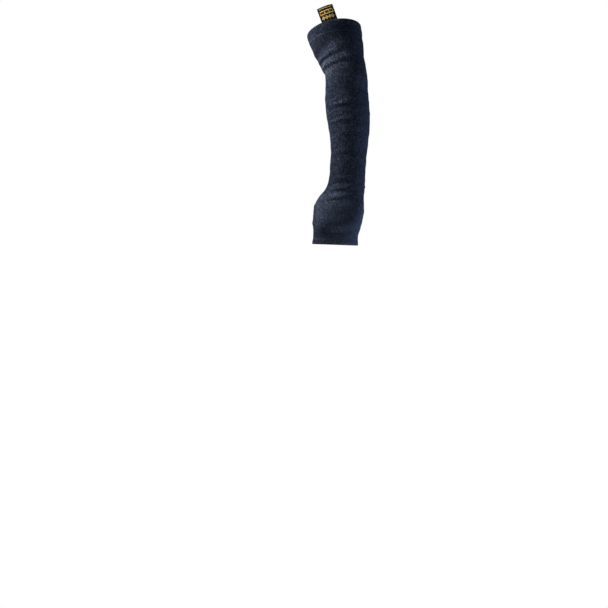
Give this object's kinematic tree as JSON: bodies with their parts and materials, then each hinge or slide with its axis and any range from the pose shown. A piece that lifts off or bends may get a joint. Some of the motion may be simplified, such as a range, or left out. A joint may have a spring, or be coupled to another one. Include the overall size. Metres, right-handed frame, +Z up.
{
  "type": "heat-resistant arm sleeve",
  "caption": "Knitted heat-resistant arm sleeve with a thumb hole, hemmed at the knuckles and upper arm, in the form it has when worn on a slightly bent left arm.",
  "frame": {"origin": "on the arm's axis at mid forearm, where the sleeve sits on the wearer's arm", "axes": "+Z up the forearm towards the upper arm, +X towards the little finger side, +Y towards the palm side; the back of the hand faces -Y"},
  "size_m": [0.129, 0.1401, 0.4944],
  "materials": {
    "knit": "dark blue-grey knit, matt",
    "binding": "dark overlock thread, matt",
    "label": "black woven ribbon with plain gold bars"
  },
  "bodies": {
    "root": {"sleeve_body": "knit", "hand_hem": "knit", "arm_hem": "knit", "thumb_binding": "binding", "label": "label"}
  },
  "joints": []
}
